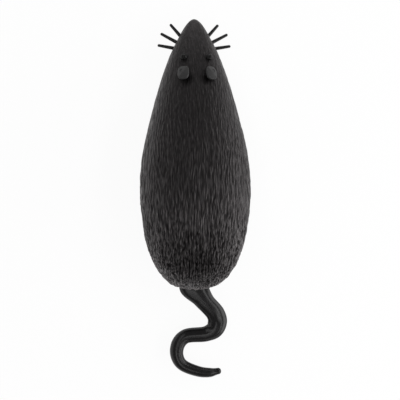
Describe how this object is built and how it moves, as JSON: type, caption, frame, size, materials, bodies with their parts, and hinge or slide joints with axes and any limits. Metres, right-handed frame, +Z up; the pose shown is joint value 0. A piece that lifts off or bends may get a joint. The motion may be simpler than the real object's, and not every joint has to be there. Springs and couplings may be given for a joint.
{
  "type": "vibrating toy mouse",
  "caption": "Small toy mouse with a fur-textured back, a soft curved tail and stiff whiskers, shaken along on slanted rubber legs by a motor with an eccentric weight.",
  "frame": {"origin": "on the floor under the middle of the box round the whole toy, tail included", "axes": "+Z up, +Y from the tail to the nose, +X to the mouse's right"},
  "size_m": [0.0338, 0.1105, 0.0265],
  "materials": {
    "shell_plastic": "moulded fur texture, satin sheen",
    "tray_plastic": "fine moulded grain",
    "soft_rubber": "smooth satin thermoplastic rubber",
    "eye_gloss": "polished bead",
    "screw_steel": "zinc plated",
    "cell_steel": "nickel plated, satin",
    "contact_steel": "nickel plated spring steel",
    "motor_steel": "plated pressed steel",
    "bush_brass": "sintered",
    "magnet_grey": "sintered magnet",
    "coil_copper": "varnished copper wire, wound as a cup",
    "weight_metal": "sintered tungsten alloy",
    "pale_nylon": "natural nylon",
    "wafer_brown": "phenolic board",
    "lead_red": "vinyl insulation",
    "lead_black": "vinyl insulation",
    "lead_blue": "vinyl insulation"
  },
  "bodies": {
    "case": {"back_shell": "shell_plastic", "belly_tray": "tray_plastic", "case_screw_front_left": "screw_steel", "case_screw_front_right": "screw_steel", "case_screw_rear_left": "screw_steel", "case_screw_rear_right": "screw_steel", "button_cell_1": "cell_steel", "button_cell_2": "cell_steel", "button_cell_3": "cell_steel", "negative_plate": "contact_steel", "negative_spring": "contact_steel", "positive_plate": "contact_steel", "motor_can": "motor_steel", "motor_end_cap": "pale_nylon", "motor_bush": "bush_brass", "motor_magnet": "magnet_grey", "motor_clamp": "motor_steel", "clamp_screw_left": "screw_steel", "clamp_screw_right": "screw_steel", "switch_frame": "motor_steel", "switch_wafer": "wafer_brown", "whisker_star": "soft_rubber", "leg_strip_left": "soft_rubber", "leg_strip_right": "soft_rubber", "eye_left": "eye_gloss", "eye_right": "eye_gloss", "ear_left": "soft_rubber", "ear_right": "soft_rubber", "lead_red": "lead_red", "lead_black": "lead_black", "lead_blue": "lead_blue"},
    "rotor": {"motor_shaft": "motor_steel", "motor_coil": "coil_copper", "eccentric_weight": "weight_metal"},
    "tail": {"tail": "soft_rubber"},
    "switch": {"switch_slider": "pale_nylon", "switch_button": "pale_nylon"},
    "door": {"battery_door": "tray_plastic"},
    "door_screw": {"door_screw": "screw_steel"}
  },
  "joints": [
    {"name": "weight_spin", "type": "hinge", "parent": "case", "child": "rotor", "pos_m": [0, 0.0134, 0.0127], "axis": [0, 1, 0], "continuous": true},
    {"name": "tail_sway", "type": "hinge", "parent": "case", "child": "tail", "pos_m": [0, -0.0231, 0.0081], "axis": [0, 0, 1], "range_deg": [-12, 12], "stiffness_Nm_per_rad": 0.001},
    {"name": "switch_slide", "type": "slide", "parent": "case", "child": "switch", "axis": [0, 1, 0], "range_m": [0, 0.002]},
    {"name": "battery_door_swing", "type": "hinge", "parent": "case", "child": "door", "pos_m": [0, -0.0184, 0.0052], "axis": [-1, 0, 0], "range_deg": [0, 45]},
    {"name": "door_screw_turn", "type": "hinge", "parent": "door", "child": "door_screw", "pos_m": [0, 0.0083, 0.005], "axis": [0, 0, -1], "range_deg": [0, 900]}
  ]
}
